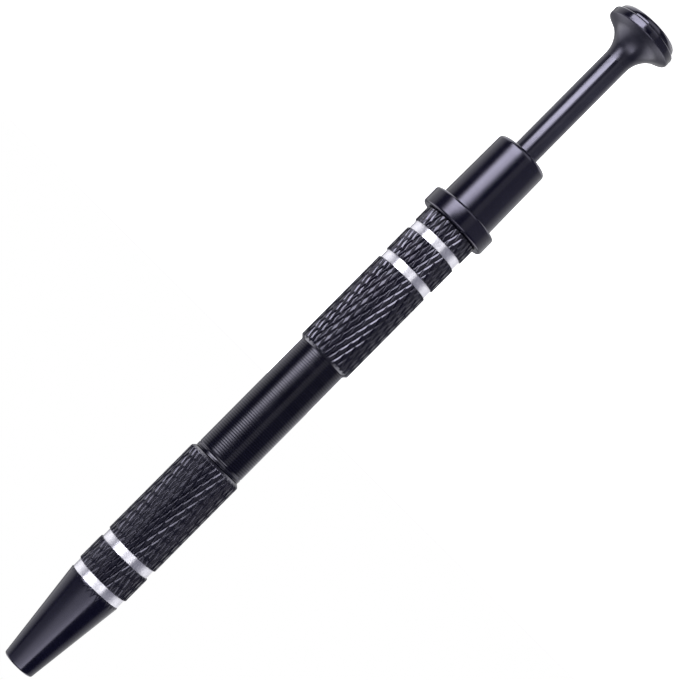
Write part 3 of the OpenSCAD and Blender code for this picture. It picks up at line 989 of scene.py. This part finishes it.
def tube(name, path, wire_r, around, finish, beside=(0, 0, 1.0)):
    """A round wire with rounded ends along a path. beside is any direction off the path's first stretch."""
    path = np.asarray(path, float)
    ahead = np.gradient(path, axis=0)
    ahead /= np.linalg.norm(ahead, axis=1)[:, None]
    side = np.zeros_like(path)
    side[0] = np.cross(ahead[0], beside)
    side[0] /= np.linalg.norm(side[0])
    for i in range(1, len(path)):
        flat = side[i - 1] - ahead[i] * (side[i - 1] @ ahead[i])
        side[i] = flat / np.linalg.norm(flat)
    other = np.cross(ahead, side)
    end_round = [(math.sin(a), math.cos(a)) for a in np.radians((75, 50, 25))]
    rings = [(0, -push, share) for push, share in end_round]
    rings += [(i, 0.0, 1.0) for i in range(len(path))]
    rings += [(len(path) - 1, push, share) for push, share in reversed(end_round)]
    turns = FULL_TURN * np.arange(around) / around
    points = []
    for i, push, share in rings:
        centre = path[i] + ahead[i] * push * wire_r
        spots = [centre + wire_r * share * (math.cos(t) * side[i] + math.sin(t) * other[i]) for t in turns]
        points += [tuple(c * MM for c in spot) for spot in spots]

    def number(i, k):
        return i * around + k % around

    faces = [(number(i, k), number(i, k + 1), number(i + 1, k + 1), number(i + 1, k))
             for i in range(len(rings) - 1) for k in range(around)]
    faces.append(tuple(number(0, k) for k in reversed(range(around))))
    faces.append(tuple(number(len(rings) - 1, k) for k in range(around)))
    mesh = bpy.data.meshes.new(name)
    mesh.from_pydata(points, [], faces)
    mesh.polygons.foreach_set("use_smooth", [True] * len(faces))
    mesh.update()
    mesh.set_sharp_from_angle(angle=math.radians(50))
    mesh.materials.append(finish)
    piece = bpy.data.objects.new(name, mesh)
    bpy.context.scene.collection.objects.link(piece)
    return piece


def claw_line():
    """The middle line of a claw as (distance from the tool's centre line, height over its root)."""
    out, up, lean = CLAW_ROOT_R, 0.0, 0.0
    line = [(out, up)]
    for radius, angle, steps in (ROOT_BEND, BOW, HOOK):
        step = math.radians(angle) / steps
        chord = 2 * radius * math.sin(abs(step) / 2)
        for _ in range(steps):
            out += chord * math.sin(lean + step / 2)
            up += chord * math.cos(lean + step / 2)
            lean += step
            line.append((out, up))
    return line + [(out + HOOK_LENGTH * math.sin(lean), up + HOOK_LENGTH * math.cos(lean))]


def make_claw(number):
    """A claw of spring wire, from the holder's cup to its hooked tip."""
    name = f"claw_{number}"
    turn = math.radians(45 - 90 * number)
    root = TOOL_LENGTH - CLAW_ROOT
    path = [(out * math.cos(turn), out * math.sin(turn), root + up) for out, up in claw_line()]
    piece = tube(name + "_wire", path, CLAW_WIRE_R, 20, claw_steel, (-math.sin(turn), math.cos(turn), 0))
    fit(piece, name, name)


def make_spring():
    """The return spring, with closed end turns, drawn as it stands with the button out."""
    high = TOOL_LENGTH - SPRING_SHOULDER
    length = WASHER_START - SPRING_SHOULDER
    top = high - SPRING_WIRE / 2
    reach = length - SPRING_WIRE
    turns = np.linspace(0, SPRING_TURNS, SPRING_TURNS * 36 + 1)
    drops = np.interp(turns, (0, 1, SPRING_TURNS - 1, SPRING_TURNS),
                      (0, SPRING_WIRE, reach - SPRING_WIRE, reach))
    path = [(COIL_R * math.cos(FULL_TURN * t), -COIL_R * math.sin(FULL_TURN * t), top - drop)
            for t, drop in zip(turns, drops)]
    # The wire is drawn a hair thin, so that the closed turns don't run into each other
    piece = tube("return_spring_coil", path, SPRING_WIRE / 2 - 0.003, 12, spring_wire_steel)
    fit(piece, "housing", "return_spring")
    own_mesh(piece)


def dress_solids():
    """The other pieces inside keep their solids and get their finishes."""
    finishes = {"stop_collar": zinc_steel, "thrust_washer": zinc_steel, "claw_holder": holder_brass}
    for name, finish in finishes.items():
        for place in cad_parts[name].material_slots:
            place.material = finish


# The scene

bpy.context.scene.view_settings.view_transform = "Standard"
place_camera()
light_surround()
light_lamps()
lay_floor()

turning_lines = make_turning_lines()
handling = make_handling()
knurl_wear = make_knurl_wear()

cone_black = black_anodised("cone black", feed=0.2, line_depth=0.001, gloss=0.16, nick_depth=0.028)
waist_black = black_anodised("waist black", feed=0.33, line_depth=0.005, gloss=0.16, regular=3.0, fine=2.5,
                             tint=(0.87, 0.85, 1.0), stretch=0.75, line_shade=0.5)
flange_black = black_anodised("flange black", feed=0.2, line_depth=0.002, gloss=0.14, tint=(0.8, 0.77, 1.0))
cap_black = black_anodised("cap black", feed=0.22, line_depth=0.005, gloss=0.12)
rod_black = black_anodised("rod black", feed=0.2, line_depth=0.001, gloss=0.09, black=(0.016, 0.016, 0.024))
trumpet_black = black_anodised("trumpet black", feed=0.2, line_depth=0.001, gloss=0.28,
                               black=(0.008, 0.008, 0.014))
rim_black = black_anodised("button rim black", feed=0.2, line_depth=0.001, gloss=0.1)
bore_black = black_anodised("bore black", feed=0.3, line_depth=0.004, gloss=0.35)
knurl_front_black = knurled_black("front knurl black", rough=0.2, rub=0.25, grain=0.014)
knurl_rear_black = knurled_black("rear knurl black", rough=0.12, rub=0.2, grain=0.008)
ring_bright = bare_metal("bright-cut aluminium", (0.93, 0.92, 1.0), (0.87, 0.86, 0.95), gloss=0.37, feed=0.12,
                         line_depth=0.001, metal=0.85, stretch=1.0)
zinc_steel = bare_metal("zinc-plated steel", (0.62, 0.63, 0.66), (0.52, 0.53, 0.55), gloss=0.3, feed=0.2,
                        line_depth=0.003)
claw_steel = bare_metal("claw wire steel", (0.74, 0.75, 0.78), (0.66, 0.67, 0.69), gloss=0.2, feed=0.9,
                        line_depth=0.001, fine=3.0)
spring_wire_steel = bare_metal("spring wire steel", (0.7, 0.7, 0.72), (0.6, 0.6, 0.62), gloss=0.28, feed=0.9,
                               line_depth=0.001, fine=3.0)
holder_brass = bare_metal("turned brass", (0.78, 0.6, 0.28), (0.68, 0.5, 0.22), gloss=0.22, feed=0.15,
                          line_depth=0.002)

make_front_sleeve()
make_barrel()
make_end_cap()
make_push_rod()
for number in (1, 2, 3, 4):
    make_claw(number)
make_spring()
dress_solids()
